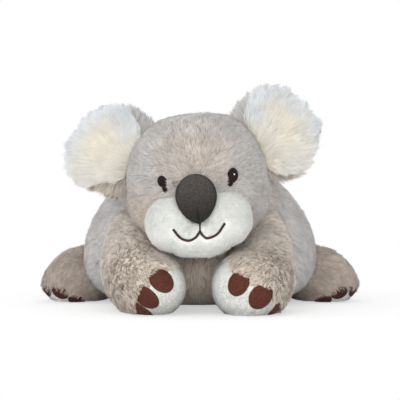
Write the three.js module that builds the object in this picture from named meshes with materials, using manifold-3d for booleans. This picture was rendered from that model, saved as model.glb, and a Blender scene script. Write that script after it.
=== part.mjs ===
// A plush koala lying on its front, its head resting on its forearms.
// Millimetres, +Z up, the face towards -Y. The origin is on the floor under the middle of the toy.
// Left and right are the toy's own: its left is +X. Each solid stands for a skin and its filling.
import * as THREE from 'three';
import { mergeVertices } from 'three/addons/utils/BufferGeometryUtils.js';
import Module from 'manifold-3d';

const LEFT = 1;
const RIGHT = -1;

// Fits that all the pieces share.
const SEAM_GAP = 0.3;
const FLATTENED = 0.5;
const STITCH_HEIGHT = 1.3;
const WELD = 0.001;
const CUT_TOLERANCE = 0.01;

// Body: a dome, broad over the hips, with a flat belly.
const BODY_PLACE = { y: 34, z: 52 };
const BODY_HALF_WIDTH = 121;
const BODY_FRONT = 88;
const BODY_BACK = 124;
const BODY_RISE = 108;
const BODY_CURVE_SHARES = { plan: 2, above: 1.8, below: 3 };

// Head: an egg with full cheeks, rolled towards the toy's right.
const HEAD_PLACE = { x: -1.5, y: -72, z: 118 };
const HEAD_HALF_WIDTH = 70;
const HEAD_FRONT = 58;
const HEAD_BACK = 56;
const HEAD_RISE = 77;
const HEAD_DROP = 54;
const HEAD_CURVE_SHARES = { plan: 2.2, above: 2.6, below: 2.1 };
const HEAD_ROLL_DEG = -6;
const NECK = { x: 0, y: -26, z: 92 };
const NOD_DEG = 10;

// Muzzle: two cheek lobes over a chin, placed in the head's own frame.
const MUZZLE_MIDDLE = { x: -2.5, y: -46, z: -27 };
const LOBE_SPREAD = 25;
const LOBE_HALF_WIDTH = 26;
const LOBE_FORWARD = 31;
const LOBE_HALF_HEIGHT = 27;
const CHIN_DROP = 15;
const CHIN_HALF_WIDTH = 38;
const CHIN_FORWARD = 31;
const CHIN_HALF_HEIGHT = 21;

// Nose: a padded oval between the lobes, longer below its middle.
const NOSE_ABOVE_MUZZLE = 25;
const NOSE_SET_FORWARD = 26;
const NOSE_HALF_WIDTH = 20;
const NOSE_RISE = 21;
const NOSE_DROP = 26;
const NOSE_FORWARD = 15;

// Eyes: embroidered ovals, placed in the head's own frame.
const EYE_MIDDLE = { x: 0.7, z: 13 };
const EYE_SPREAD = 34;
const EYE_HALF_WIDTH = 5.5;
const EYE_HALF_HEIGHT = 9;
const EYE_LEAN_DEG = 8;

// Ears: round pads, each sewn along a slanting seam beside the crown.
const EAR_SEAM = { x: 62, y: 4, z: 43 };
const EAR_TILT_DEG = 32;
const EAR_OUT = 21;
const EAR_DOWN = 4;
const EAR_HALF_REACH = 40;
const EAR_HALF_HEIGHT = 44;
const EAR_FRONT = 14;
const EAR_BACK = 11;
const EAR_CURVE_SHARES = { plan: 2, above: 2.6, below: 2.6 };
const EAR_FOLD_DEG = 15;
const LINING_OUT = 6;
const LINING_HALF_REACH = 29;
const LINING_HALF_HEIGHT = 38;
const LINING_DEPTH = 10;
const LINING_PROUD = 3;

// Arms: down from the shoulder, along the floor under the head and forward to the paw. Each
// paw's palm and claws are ways to face. The left arm is slimmer and its paw lies flatter.
const SHOULDER = { x: 62, y: -8, z: 102 };
const ELBOW = { y: -72, z: 10 };
const SHOULDER_PIVOT = { x: 74, y: -22, z: 80 };
const ARM_FULLNESS_SHARE = 0.66;
const ARM_CREST_SHARE = 2;
const ARM_SWING_DEG = 20;
const PAW_TIP = { y: -150, z: 30 };
const PAW_MIDDLE_SHARE = 0.84;
const PAW_SOLE_OUT = 5;
const RIGHT_PAW = {
  elbowX: 74,
  tipX: 28,
  halfWidth: 35,
  halfHeight: 35,
  swellShares: [0.95, 1.05, 1],
  palmShares: [0.7, -0.42, -0.58],
  clawShares: [[0.17, -0.94, 0.3], [-0.36, -0.88, -0.32], [-0.6, -0.25, -0.76]],
};
const LEFT_PAW = {
  elbowX: 68,
  tipX: 37,
  halfWidth: 34,
  halfHeight: 31,
  swellShares: [0.95, 0.75, 1.5],
  palmShares: [-0.49, -0.35, -0.8],
  clawShares: [[-0.34, -0.92, 0.22], [0.39, -0.89, -0.23], [0.83, -0.1, -0.54]],
};

// Legs: a short thigh and a big foot, splayed to the side and placed from the body's side. The
// crest curve shapes the upper half of a limb's section: 2 is round, less slopes like a roof.
const HIP = { outside: -51, y: 80, z: 34 };
const KNEE = { outside: -1, y: 72, z: 32 };
const TOE = { outside: 33, y: 22, z: 18 };
const HIP_PIVOT = { outside: -29, y: 74, z: 36 };
const FOOT_HALF_WIDTH = 35;
const FOOT_HALF_HEIGHT = 34;
const LEG_SWELL_SHARES = [0.7, 0.86, 1.12];
const LEG_FULLNESS_SHARE = 0.72;
const LEG_CREST_SHARE = 1.35;
const LEG_SWING_DEG = 12;
const FOOT_MIDDLE_SHARE = 0.8;
const FOOT_SOLE_HEIGHT = 8;
const FOOT_PALM_SHARES = [0.18, -0.12, -0.98];
const FOOT_CLAW_SHARES = [[-0.35, -0.55, -0.76], [0.3, -0.8, -0.52], [0.88, -0.22, -0.42]];

// Claws: three embroidered ovals along the edge of each sole, counted from the inner one.
const CLAW_NAMES = ['inner', 'middle', 'outer'];
const PAW_CLAW = { halfWidth: 10.5, halfLength: 13 };
const FOOT_CLAW = { halfWidth: 10, halfLength: 7 };

// Facets, and how far a cutting tool turns from one cut of a swing to the next.
const BODY_FACETS = { rings: 18, sides: 26 };
const HEAD_FACETS = { rings: 16, sides: 24 };
const LIMB_FACETS = { rings: 12, sides: 16 };
const PAD_FACETS = { rings: 10, sides: 14 };
const PATCH_SIDES = 10;
const PATCH_DEPTH_SHARE = 1.5;
const SWING_STEP_DEG = 5;

const UP = new THREE.Vector3(0, 0, 1);
const DOWN = new THREE.Vector3(0, 0, -1);
const radians = THREE.MathUtils.degToRad;

const wasm = await Module();
wasm.setup();

function finish(name, color, roughness) {
  return new THREE.MeshStandardMaterial({ name, color, roughness, metalness: 0 });
}

const greyPlush = finish('grey_plush', '#b3a79c', 0.95);
const whitePile = finish('white_pile', '#e8e8e2', 0.95);
const creamPile = finish('cream_pile', '#efe8d4', 0.95);
const darkVelour = finish('dark_velour', '#4b4845', 0.85);
const clawSatin = finish('claw_satin', '#5c3326', 0.6);
const eyeSatin = finish('eye_satin', '#2d1a19', 0.5);

// A copy with only positions, its meeting points welded.
function welded(geometry) {
  const bare = geometry.clone();
  bare.deleteAttribute('uv');
  bare.deleteAttribute('normal');
  return mergeVertices(bare, WELD);
}

function solid(geometry) {
  const closed = welded(geometry);
  return new wasm.Manifold(new wasm.Mesh({
    numProp: 3,
    vertProperties: new Float32Array(closed.attributes.position.array),
    triVerts: new Uint32Array(closed.index.array),
  }));
}

// The largest body that a cut leaves, without its offcuts and the shortest of its edges.
function largest(shape) {
  const bodies = shape.decompose().sort((a, b) => b.volume() - a.volume());
  return bodies[0].asOriginal().simplify(CUT_TOLERANCE);
}

function geometryOf(shape) {
  const mesh = shape.getMesh();
  const geometry = new THREE.BufferGeometry();
  const points = new THREE.BufferAttribute(new Float32Array(mesh.vertProperties), 3);
  geometry.setAttribute('position', points);
  geometry.setIndex(new THREE.BufferAttribute(new Uint32Array(mesh.triVerts), 1));
  geometry.computeVertexNormals();
  return geometry;
}

// A closed form with every point moved outwards by a distance.
function grown(geometry, distance) {
  const form = welded(geometry);
  form.computeVertexNormals();
  const { position, normal } = form.attributes;
  const point = new THREE.Vector3();
  const outward = new THREE.Vector3();
  for (let i = 0; i < position.count; i += 1) {
    outward.fromBufferAttribute(normal, i);
    point.fromBufferAttribute(position, i).addScaledVector(outward, distance);
    position.setXYZ(i, point.x, point.y, point.z);
  }
  return form;
}

// A closed skin over rings of points between two poles.
function ringForm({ rings, sides }, place) {
  const points = [place(0, 0)];
  for (let ring = 1; ring < rings; ring += 1) {
    for (let side = 0; side < sides; side += 1) {
      points.push(place(ring / rings, side / sides));
    }
  }
  points.push(place(1, 0));
  const last = points.length - 1;
  const at = (ring, side) => 1 + (ring - 1) * sides + (side % sides);
  const faces = [];
  for (let side = 0; side < sides; side += 1) {
    faces.push(0, at(1, side + 1), at(1, side));
    for (let ring = 1; ring < rings - 1; ring += 1) {
      faces.push(at(ring, side), at(ring + 1, side + 1), at(ring + 1, side));
      faces.push(at(ring, side), at(ring, side + 1), at(ring + 1, side + 1));
    }
    faces.push(at(rings - 1, side), at(rings - 1, side + 1), last);
  }
  return new THREE.BufferGeometry().setFromPoints(points).setIndex(faces);
}

// An egg with its own reach each way, its poles at front and back. Seen from above it follows
// the plan curve, and from the side the curves above and below: 2 is round, more is squarer.
function egg({ halfWidth, front, back, rise, drop, curves, facets }) {
  return ringForm(facets, (along, around) => {
    const pole = along * Math.PI;
    const turn = around * 2 * Math.PI;
    const x = Math.sin(pole) * Math.sin(turn);
    const y = -Math.cos(pole);
    const z = Math.sin(pole) * Math.cos(turn);
    const upright = z < 0 ? curves.below : curves.above;
    const plan = (Math.abs(x) ** curves.plan + Math.abs(y) ** curves.plan) ** (1 / curves.plan);
    const bulk = (plan ** upright + Math.abs(z) ** upright) ** (1 / upright);
    const depth = y < 0 ? front : back;
    const height = z < 0 ? drop : rise;
    return new THREE.Vector3(x * halfWidth, y * depth, z * height).divideScalar(bulk);
  });
}

const ROUND_SHARES = { plan: 2, above: 2, below: 2 };

// A round pad, the same both ways along each of its axes.
function pad(halfWidth, depth, halfHeight, curves = ROUND_SHARES) {
  return egg({
    halfWidth,
    front: depth,
    back: depth,
    rise: halfHeight,
    drop: halfHeight,
    curves,
    facets: PAD_FACETS,
  });
}

function quadratic([first, middle, last], share) {
  const rest = 1 - share;
  return rest * rest * first + 2 * rest * share * middle + share * share * last;
}

// A stuffed limb: its section swells along a bent spine, by the shares at the spine's three
// points, and closes round at both ends.
function limb({ spine, halfWidth, halfHeight, swellShares, fullness, crest }) {
  return ringForm(LIMB_FACETS, (along, around) => {
    const pole = along * Math.PI;
    const turn = around * 2 * Math.PI;
    const share = (1 - Math.cos(pole)) / 2;
    const swell = Math.sin(pole) ** fullness * quadratic(swellShares, share);
    const sideways = Math.sin(turn);
    const upright = Math.cos(turn);
    const curve = upright > 0 ? crest : 2;
    const bulk = (Math.abs(sideways) ** curve + Math.abs(upright) ** curve) ** (1 / curve);
    const tangent = spine.getTangent(share);
    const side = new THREE.Vector3().crossVectors(tangent, UP).normalize();
    const over = new THREE.Vector3().crossVectors(side, tangent).normalize();
    return spine.getPoint(share)
      .addScaledVector(side, sideways * halfWidth * swell / bulk)
      .addScaledVector(over, upright * halfHeight * swell / bulk);
  });
}

function turnAbout(pivot, axis, degrees) {
  const there = new THREE.Matrix4().makeTranslation(pivot.x, pivot.y, pivot.z);
  const turn = new THREE.Matrix4().makeRotationAxis(axis, radians(degrees));
  const back = new THREE.Matrix4().makeTranslation(-pivot.x, -pivot.y, -pivot.z);
  return there.multiply(turn).multiply(back);
}

// The angles of a swing, from one end to the other.
function swing(from, to) {
  const steps = Math.ceil((to - from) / SWING_STEP_DEG);
  return Array.from({ length: steps + 1 }, (_, i) => from + (to - from) * i / steps);
}

// Cuts a moving shape clear of a still form at every angle of the shape's joint.
function cutClear(shape, still, joint) {
  const tool = grown(still, SEAM_GAP);
  return joint.angles.reduce((left, angle) => {
    const turned = tool.clone().applyMatrix4(turnAbout(joint.pivot, joint.axis, -angle));
    return left.subtract(solid(turned));
  }, shape);
}

// All the space beyond a plane, as a block wider than the toy.
function beyond(point, facing) {
  const span = 4 * (BODY_HALF_WIDTH + BODY_BACK);
  const aim = new THREE.Quaternion().setFromUnitVectors(UP, facing);
  return solid(new THREE.BoxGeometry(span, span, span)
    .translate(0, 0, span / 2)
    .applyQuaternion(aim)
    .translate(point.x, point.y, point.z));
}

const underTheFloor = beyond(new THREE.Vector3(), DOWN);
const standing = (shape) => shape.subtract(underTheFloor);

// Embroidery: a thin oval that follows the form it is stitched on.
function patch({ form, middle, facing, up, halfWidth, halfLength, depth }) {
  const thread = solid(grown(form, STITCH_HEIGHT)).subtract(solid(grown(form, SEAM_GAP)));
  const side = new THREE.Vector3().crossVectors(facing, up).normalize();
  const along = new THREE.Vector3().crossVectors(side, facing).normalize();
  const frame = new THREE.Matrix4().makeBasis(side, facing, along).setPosition(middle);
  const oval = new THREE.CylinderGeometry(1, 1, depth, PATCH_SIDES)
    .scale(halfWidth, 1, halfLength)
    .applyMatrix4(frame);
  return thread.intersect(solid(oval));
}

const toy = new THREE.Group();

function groupAt({ x, y, z }) {
  const group = new THREE.Group();
  group.position.set(x, y, z);
  toy.add(group);
  return group;
}

// Adds a shape to a group, measured from the group's place.
function add(group, name, shape, material) {
  const geometry = geometryOf(largest(shape));
  const { x, y, z } = group.position;
  const mesh = new THREE.Mesh(geometry.translate(-x, -y, -z), material);
  mesh.name = name;
  group.add(mesh);
}

const sideName = (side) => (side === LEFT ? 'left' : 'right');

// The body.
const bodyForm = egg({
  halfWidth: BODY_HALF_WIDTH,
  front: BODY_FRONT,
  back: BODY_BACK,
  rise: BODY_RISE,
  drop: BODY_PLACE.z + FLATTENED,
  curves: BODY_CURVE_SHARES,
  facets: BODY_FACETS,
}).translate(0, BODY_PLACE.y, BODY_PLACE.z);
add(toy, 'body', standing(solid(bodyForm)), greyPlush);

// The head, in a frame of its own that holds its place and its roll.
const headFrame = new THREE.Matrix4()
  .makeRotationY(radians(HEAD_ROLL_DEG))
  .setPosition(HEAD_PLACE.x, HEAD_PLACE.y, HEAD_PLACE.z);
const inHead = (x, y, z) => new THREE.Vector3(x, y, z).applyMatrix4(headFrame);
const headWay = (x, y, z) => new THREE.Vector3(x, y, z).transformDirection(headFrame);

const headForm = egg({
  halfWidth: HEAD_HALF_WIDTH,
  front: HEAD_FRONT,
  back: HEAD_BACK,
  rise: HEAD_RISE,
  drop: HEAD_DROP,
  curves: HEAD_CURVE_SHARES,
  facets: HEAD_FACETS,
}).applyMatrix4(headFrame);

const nod = { pivot: NECK, axis: new THREE.Vector3(-1, 0, 0), angles: swing(0, NOD_DEG) };
const headGroup = groupAt(NECK);
add(headGroup, 'head', cutClear(solid(headForm), bodyForm, nod), greyPlush);

// The muzzle: its lobes and chin in one.
const lobeForms = [LEFT, RIGHT].map((side) => (
  pad(LOBE_HALF_WIDTH, LOBE_FORWARD, LOBE_HALF_HEIGHT)
    .translate(MUZZLE_MIDDLE.x + side * LOBE_SPREAD, MUZZLE_MIDDLE.y, MUZZLE_MIDDLE.z)
    .applyMatrix4(headFrame)
));
const chinForm = pad(CHIN_HALF_WIDTH, CHIN_FORWARD, CHIN_HALF_HEIGHT)
  .translate(MUZZLE_MIDDLE.x, MUZZLE_MIDDLE.y, MUZZLE_MIDDLE.z - CHIN_DROP)
  .applyMatrix4(headFrame);
const muzzleForms = [...lobeForms, chinForm];
const muzzle = muzzleForms
  .map((form) => solid(form))
  .reduce((joined, form) => joined.add(form))
  .subtract(solid(grown(headForm, SEAM_GAP)));
add(headGroup, 'muzzle', muzzle, whitePile);

// The nose.
const noseForm = egg({
  halfWidth: NOSE_HALF_WIDTH,
  front: NOSE_FORWARD,
  back: NOSE_FORWARD,
  rise: NOSE_RISE,
  drop: NOSE_DROP,
  curves: ROUND_SHARES,
  facets: PAD_FACETS,
}).translate(
  MUZZLE_MIDDLE.x,
  MUZZLE_MIDDLE.y - NOSE_SET_FORWARD,
  MUZZLE_MIDDLE.z + NOSE_ABOVE_MUZZLE,
).applyMatrix4(headFrame);
const nose = [headForm, ...muzzleForms]
  .map((form) => solid(grown(form, SEAM_GAP)))
  .reduce((left, form) => left.subtract(form), solid(noseForm));
add(headGroup, 'nose', nose, darkVelour);

// The eyes.
for (const side of [LEFT, RIGHT]) {
  const lean = radians(EYE_LEAN_DEG);
  const eye = patch({
    form: headForm,
    middle: inHead(EYE_MIDDLE.x + side * EYE_SPREAD, -HEAD_FRONT, EYE_MIDDLE.z),
    facing: headWay(0, -1, 0),
    up: headWay(side * Math.sin(lean), 0, Math.cos(lean)),
    halfWidth: EYE_HALF_WIDTH,
    halfLength: EYE_HALF_HEIGHT,
    depth: HEAD_FRONT,
  });
  add(headGroup, `eye_${sideName(side)}`, eye, eyeSatin);
}

// An ear: a pad that hinges along its seam, with its lining let into the front.
function addEar(side) {
  const tilt = radians(EAR_TILT_DEG);
  const outward = headWay(side * Math.cos(tilt), 0, Math.sin(tilt));
  const alongSeam = headWay(-side * Math.sin(tilt), 0, Math.cos(tilt));
  const backward = headWay(0, 1, 0);
  const across = side === LEFT ? [outward, backward] : [outward.clone().negate(), backward];
  const seam = inHead(side * EAR_SEAM.x, EAR_SEAM.y, EAR_SEAM.z);
  const frame = new THREE.Matrix4().makeBasis(...across, alongSeam).setPosition(seam);
  const earForm = egg({
    halfWidth: EAR_HALF_REACH,
    front: EAR_FRONT,
    back: EAR_BACK,
    rise: EAR_HALF_HEIGHT,
    drop: EAR_HALF_HEIGHT,
    curves: EAR_CURVE_SHARES,
    facets: LIMB_FACETS,
  }).translate(side * EAR_OUT, 0, -EAR_DOWN).applyMatrix4(frame);
  const liningForm = pad(LINING_HALF_REACH, LINING_DEPTH, LINING_HALF_HEIGHT, EAR_CURVE_SHARES)
    .translate(side * (EAR_OUT + LINING_OUT), LINING_DEPTH - LINING_PROUD - EAR_FRONT, -EAR_DOWN)
    .applyMatrix4(frame);
  const fold = { pivot: seam, axis: alongSeam, angles: swing(-EAR_FOLD_DEG, EAR_FOLD_DEG) };
  const earClear = (form) => cutClear(solid(form), headForm, fold);
  const group = groupAt(seam);
  const back = earClear(earForm).subtract(solid(grown(liningForm, SEAM_GAP)));
  add(group, `ear_back_${sideName(side)}`, back, greyPlush);
  add(group, `ear_lining_${sideName(side)}`, earClear(liningForm), creamPile);
}

addEar(LEFT);
addEar(RIGHT);

// Parts a limb from its sole along a plane, and stitches the claws on along the sole's edge.
function addLimb({ names, form, joint, obstacles, middle, palm, soleAt, claw, clawWays }) {
  const clear = (shape) => standing(
    obstacles.reduce((left, obstacle) => cutClear(left, obstacle, joint), shape),
  );
  const whole = clear(solid(form));
  const group = groupAt(joint.pivot);
  add(group, names.limb, whole.subtract(beyond(soleAt, palm)), greyPlush);
  const soleFace = soleAt.clone().addScaledVector(palm, SEAM_GAP);
  add(group, names.sole, whole.intersect(beyond(soleFace, palm)), whitePile);
  CLAW_NAMES.forEach((name, i) => {
    const oval = patch({
      form,
      middle: middle.clone().addScaledVector(clawWays[i], claw.reach),
      facing: clawWays[i],
      up: palm,
      halfWidth: claw.halfWidth,
      halfLength: claw.halfLength,
      depth: PATCH_DEPTH_SHARE * claw.reach,
    });
    add(group, `${names.claw}_${name}`, clear(oval), clawSatin);
  });
}

function spineOf(...places) {
  return new THREE.QuadraticBezierCurve3(...places.map(({ x, y, z }) => new THREE.Vector3(x, y, z)));
}

const onSide = (side, { x, y, z }) => ({ x: side * x, y, z });
const besideBody = (side, { outside, y, z }) => ({ x: side * (BODY_HALF_WIDTH + outside), y, z });
const wayTo = (side, [x, y, z]) => new THREE.Vector3(side * x, y, z).normalize();

// The arms: each swings outwards from under the head.
const noddedHeads = nod.angles.flatMap((angle) => [headForm, ...muzzleForms].map((form) => (
  form.clone().applyMatrix4(turnAbout(nod.pivot, nod.axis, angle))
)));

function addArm(side, paw) {
  const elbow = { x: paw.elbowX, ...ELBOW };
  const tip = { x: paw.tipX, ...PAW_TIP };
  const spine = spineOf(onSide(side, SHOULDER), onSide(side, elbow), onSide(side, tip));
  const palm = wayTo(LEFT, paw.palmShares);
  const middle = spine.getPoint(PAW_MIDDLE_SHARE);
  addLimb({
    names: {
      limb: `arm_${sideName(side)}`,
      sole: `paw_sole_${sideName(side)}`,
      claw: `paw_claw_${sideName(side)}`,
    },
    form: limb({
      spine,
      halfWidth: paw.halfWidth,
      halfHeight: paw.halfHeight,
      swellShares: paw.swellShares,
      fullness: ARM_FULLNESS_SHARE,
      crest: ARM_CREST_SHARE,
    }),
    joint: {
      pivot: onSide(side, SHOULDER_PIVOT),
      axis: new THREE.Vector3(0, 0, side),
      angles: swing(0, ARM_SWING_DEG),
    },
    obstacles: [bodyForm, ...noddedHeads],
    middle,
    palm,
    soleAt: middle.clone().addScaledVector(palm, PAW_SOLE_OUT),
    claw: { ...PAW_CLAW, reach: paw.halfWidth },
    clawWays: paw.clawShares.map((shares) => wayTo(LEFT, shares)),
  });
}

addArm(RIGHT, RIGHT_PAW);
addArm(LEFT, LEFT_PAW);

// The legs: each swings a little both ways at the hip.
function addLeg(side) {
  const spine = spineOf(besideBody(side, HIP), besideBody(side, KNEE), besideBody(side, TOE));
  const middle = spine.getPoint(FOOT_MIDDLE_SHARE);
  addLimb({
    names: {
      limb: `leg_${sideName(side)}`,
      sole: `foot_sole_${sideName(side)}`,
      claw: `foot_claw_${sideName(side)}`,
    },
    form: limb({
      spine,
      halfWidth: FOOT_HALF_WIDTH,
      halfHeight: FOOT_HALF_HEIGHT,
      swellShares: LEG_SWELL_SHARES,
      fullness: LEG_FULLNESS_SHARE,
      crest: LEG_CREST_SHARE,
    }),
    joint: {
      pivot: besideBody(side, HIP_PIVOT),
      axis: new THREE.Vector3(0, 0, side),
      angles: swing(-LEG_SWING_DEG, LEG_SWING_DEG),
    },
    obstacles: [bodyForm],
    middle,
    palm: wayTo(side, FOOT_PALM_SHARES),
    soleAt: new THREE.Vector3(middle.x, middle.y, FOOT_SOLE_HEIGHT),
    claw: { ...FOOT_CLAW, reach: FOOT_HALF_WIDTH },
    clawWays: FOOT_CLAW_SHARES.map((shares) => wayTo(side, shares)),
  });
}

addLeg(LEFT);
addLeg(RIGHT);

export default toy;
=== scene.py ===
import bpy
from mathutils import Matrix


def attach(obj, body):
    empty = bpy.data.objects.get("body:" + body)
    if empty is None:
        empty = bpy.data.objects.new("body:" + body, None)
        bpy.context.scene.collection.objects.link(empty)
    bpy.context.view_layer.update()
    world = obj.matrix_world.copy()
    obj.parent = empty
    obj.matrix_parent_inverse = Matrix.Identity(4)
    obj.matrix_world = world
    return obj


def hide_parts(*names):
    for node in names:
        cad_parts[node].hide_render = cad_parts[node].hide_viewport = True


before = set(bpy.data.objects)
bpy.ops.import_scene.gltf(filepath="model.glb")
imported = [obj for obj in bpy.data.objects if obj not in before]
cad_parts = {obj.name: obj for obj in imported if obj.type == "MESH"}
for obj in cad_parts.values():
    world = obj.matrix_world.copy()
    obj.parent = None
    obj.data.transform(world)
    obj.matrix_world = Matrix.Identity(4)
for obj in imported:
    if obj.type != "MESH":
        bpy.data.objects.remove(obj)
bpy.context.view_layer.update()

import math
from collections import namedtuple

import bmesh
import bpy
import numpy as np
from mathutils import Matrix, Vector, kdtree, noise
from mathutils.bvhtree import BVHTree

# Lengths are millimetres, as in the part's source. Only meshes are in metres.
MM = 0.001
LEFT, RIGHT = 1, -1
SIDE_NAMES = {LEFT: "left", RIGHT: "right"}

# The photograph's camera: level with the toy's eyes, almost head on.
CAMERA_PLACE = (0, -1800, 143.7)
CAMERA_LENS = 155.5
CAMERA_TILT_DEG = 1.11
CAMERA_CLIP = (0.1, 60)

# The stuffed forms, with the driving sizes of the part's source.
ROUND = dict(plan=2, above=2, below=2)
BODY_PLACE = (0, 34, 52)
BODY = dict(half_width=121, front=88, back=124, rise=108, drop=52.5)
BODY_CURVES = dict(plan=2, above=1.8, below=3)
HEAD_PLACE = (-1.5, -72, 118)
HEAD_ROLL_DEG = -6
HEAD = dict(half_width=70, front=58, back=56, rise=77, drop=54)
HEAD_CURVES = dict(plan=2.2, above=2.6, below=2.1)
MUZZLE_MIDDLE = (-2.5, -46, -27)
LOBE_SPREAD = 25
LOBE = (26, 31, 27)
CHIN_DROP = 15
CHIN = (35, 31, 20)
NOSE_ABOVE_MUZZLE = 25
NOSE_SET_FORWARD = 26
NOSE = dict(half_width=20, front=15, back=15, rise=21, drop=26)
EYE_MIDDLE = (0.7, 13)
EYE_SPREAD = 34
EYE_LEAN_DEG = 8
EAR_SEAM = (62, 4, 43)
EAR_TILT_DEG = 32
EAR_OUT = 21
EAR_DOWN = 4
EAR = dict(half_width=40, front=14, back=11, rise=44, drop=44)
EAR_CURVES = dict(plan=2, above=2.6, below=2.6)
SHOULDER = (62, -8, 102)
ELBOW_Y, ELBOW_Z = -72, 10
ARM_FULLNESS = 0.66
ARM_CREST = 2
PAW_TIP_Y, PAW_TIP_Z = -150, 30
PAW_MIDDLE_SHARE = 0.84
PAW_SOLE_OUT = 5
PAWS = {
    RIGHT: dict(
        elbow_x=74, tip_x=28, half_width=35, half_height=35, swells=(0.95, 1.05, 1),
        palm=(0.7, -0.42, -0.58),
        claws=((0.17, -0.94, 0.3), (-0.36, -0.88, -0.32), (-0.6, -0.25, -0.76))),
    LEFT: dict(
        elbow_x=68, tip_x=37, half_width=34, half_height=31, swells=(0.95, 0.75, 1.5),
        palm=(-0.49, -0.35, -0.8),
        claws=((-0.34, -0.92, 0.22), (0.39, -0.89, -0.23), (0.83, -0.1, -0.54))),
}
HIP, KNEE, TOE = (70, 80, 34), (120, 72, 32), (154, 22, 18)
FOOT_HALF_WIDTH, FOOT_HALF_HEIGHT = 35, 34
LEG_SWELLS = (0.7, 0.86, 1.12)
LEG_FULLNESS = 0.72
LEG_CREST = 1.35
FOOT_MIDDLE_SHARE = 0.8
FOOT_SOLE_HEIGHT = 8
FOOT_PALM = (0.18, -0.12, -0.98)
FOOT_CLAWS = ((-0.35, -0.55, -0.76), (0.3, -0.8, -0.52), (0.88, -0.22, -0.42))
CLAW_NAMES = ("inner", "middle", "outer")
# Half widths and half lengths.
PAW_CLAW, FOOT_CLAW = (10.5, 13), (10, 7)

# The skins lie just inside the solids, and the pile stands up beyond them.
SPHERE_SUBDIVISIONS = 6
SKIN_INSET = 1.0
EAR_SKIN_INSET = 2.5
SOLE_INSET = 0.2
BACKING_THICKNESS = 1.2
SETTLING_DEPTHS = 6
FLOOR_CLEARANCE = 0.5
PILE_CLEARANCE = 0.25
MUZZLE_BLEND = dict(voxel=1.6, smoothing=8, depth=2.0)

# How far the pile reaches from an ear's middle, at sixteen turns from outward to up the seam and
# round: to its tips, and to the edge of the lining.
EAR_TIPS = {
    RIGHT: (42.8, 41, 43, 48, 50.5, 53, 50.9, 47.5, 47.1, 48.4, 51, 47.9, 43.3, 51.4, 49.1, 47.9),
    LEFT: (42.3, 41.3, 45.9, 48.2, 48.7, 48.6, 48.8, 44.7, 43.7, 45.7, 51.2, 50.9, 52, 46.5, 44.1,
           47),
}
LINING_EDGES = {
    RIGHT: (42.8, 41, 43, 47.8, 41, 37.5, 32, 29.5, 28.5, 29, 33.4, 32.7, 39.5, 51, 48.7, 47.4),
    LEFT: (42.3, 41.3, 45.5, 49.2, 41.5, 33, 28, 24, 23, 27.4, 40, 42.5, 48, 45, 43.7, 46.6),
}
# Where the lining's edge comes this near to the tips, the lining covers the rim.
RIM_BAND = 2
# The lining ends this far before the ear's middle plane.
LINING_FRONT = -0.5
LINING_MARGIN = 1.5
# The whorl that the lining's pile grows away from, from the seam.
WHORL = (EAR_OUT - 36, 0, -EAR_DOWN - 8)

# The mouth's stitched lines, as they are seen from the front.
MOUTH_POINTS = {
    "right": ((-25.8, 83.9), (-19.5, 76.2), (-11.5, 72.9), (-4.5, 75.5), (0, 81.1)),
    "left": ((0, 81.1), (3.2, 77), (7.6, 75.3), (16.5, 79.2), (23.9, 89.6)),
    "middle": ((0, 90.6), (0, 81.1)),
}
MOUTH_RADII = dict(right=1.25, left=1.25, middle=0.8)
MOUTH_LIFT = 1.25
MOUTH_CLEAR = 1.3
# Each eye's ovals: their middles from the eye's place, outward and up, and their half sizes.
EYE_OVALS = {
    LEFT: ((0, 0.6, 5.1, 7.2), (-2.6, -6.3, 2.7, 4.1)),
    RIGHT: ((0.6, 1.8, 4.4, 5.5), (-2.0, -4.9, 2.5, 4.2)),
}
EYE_STITCH = dict(dome=1.6, pitch=0.5)
# The white stitch on the left eye: its place, across and up, and its half sizes.
GLINT_PLACE = (0.8, 1.4)
GLINT_SIZE = (1.1, 1.2)
GLINT_STITCH = dict(dome=2.4, pitch=0.4)
CLAW_STITCH = dict(dome=1.0, pitch=0.55)

# Each pile: strands to a square millimetre, their length, width and rise, how far they draw
# together into tufts of what size, and how far they stray.
BODY_FUR = dict(density=0.9, length=10, width=0.85, lift_deg=24, seed=1)
HEAD_FUR = dict(density=1.3, length=9.5, width=0.75, lift_deg=27, clump=0.5, clump_size=3.2, seed=3)
NOSE_FUR = dict(density=3.2, length=1.4, width=0.45, lift_deg=34, clump=0.5, clump_size=1.8,
                stray=0.35, seed=4)
MUZZLE_FUR = dict(density=1.9, length=5.0, width=0.6, lift_deg=34, clump=0.55, clump_size=2.8,
                  stray=0.42, tuft_stray=0.6, seed=5)
EAR_FUR = dict(density=1.0, length=13, width=0.85, lift_deg=30, clump=0.45, clump_size=3.2, seed=7)
LINING_FUR = dict(density=2.7, length=17, width=0.8, lift_deg=27, clump_size=4.2, point=0.6,
                  stray=0.3, tuft_stray=0.5, steps=3, sag=0.03, seed=9)
SOLE_FUR = dict(density=1.9, length=3.2, width=0.55, lift_deg=32, clump=0.2, clump_size=2.5,
                seed=11)
ARM_FUR = dict(density=1.3, length=9.5, width=0.8, lift_deg=27, clump=0.62, clump_size=3.2)
LEG_FUR = dict(density=1.2, length=9, width=0.8, lift_deg=24, clump=0.5)
ARM_SEED, LEG_SEED = 13, 17

# What all strands share: their sides and steps, how they taper, and their shading.
SIDES = 3
STEPS = 2
TAPER_POWER = 0.7
PLAIN_LEAN = 1.1
ROUNDNESS = 0.75
HEADING_SHARE = 0.25
TIP_HEADING_SHARE = 0.4
UV_MARGIN = 0.15
MOST_TRIANGLES = 196000

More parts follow.
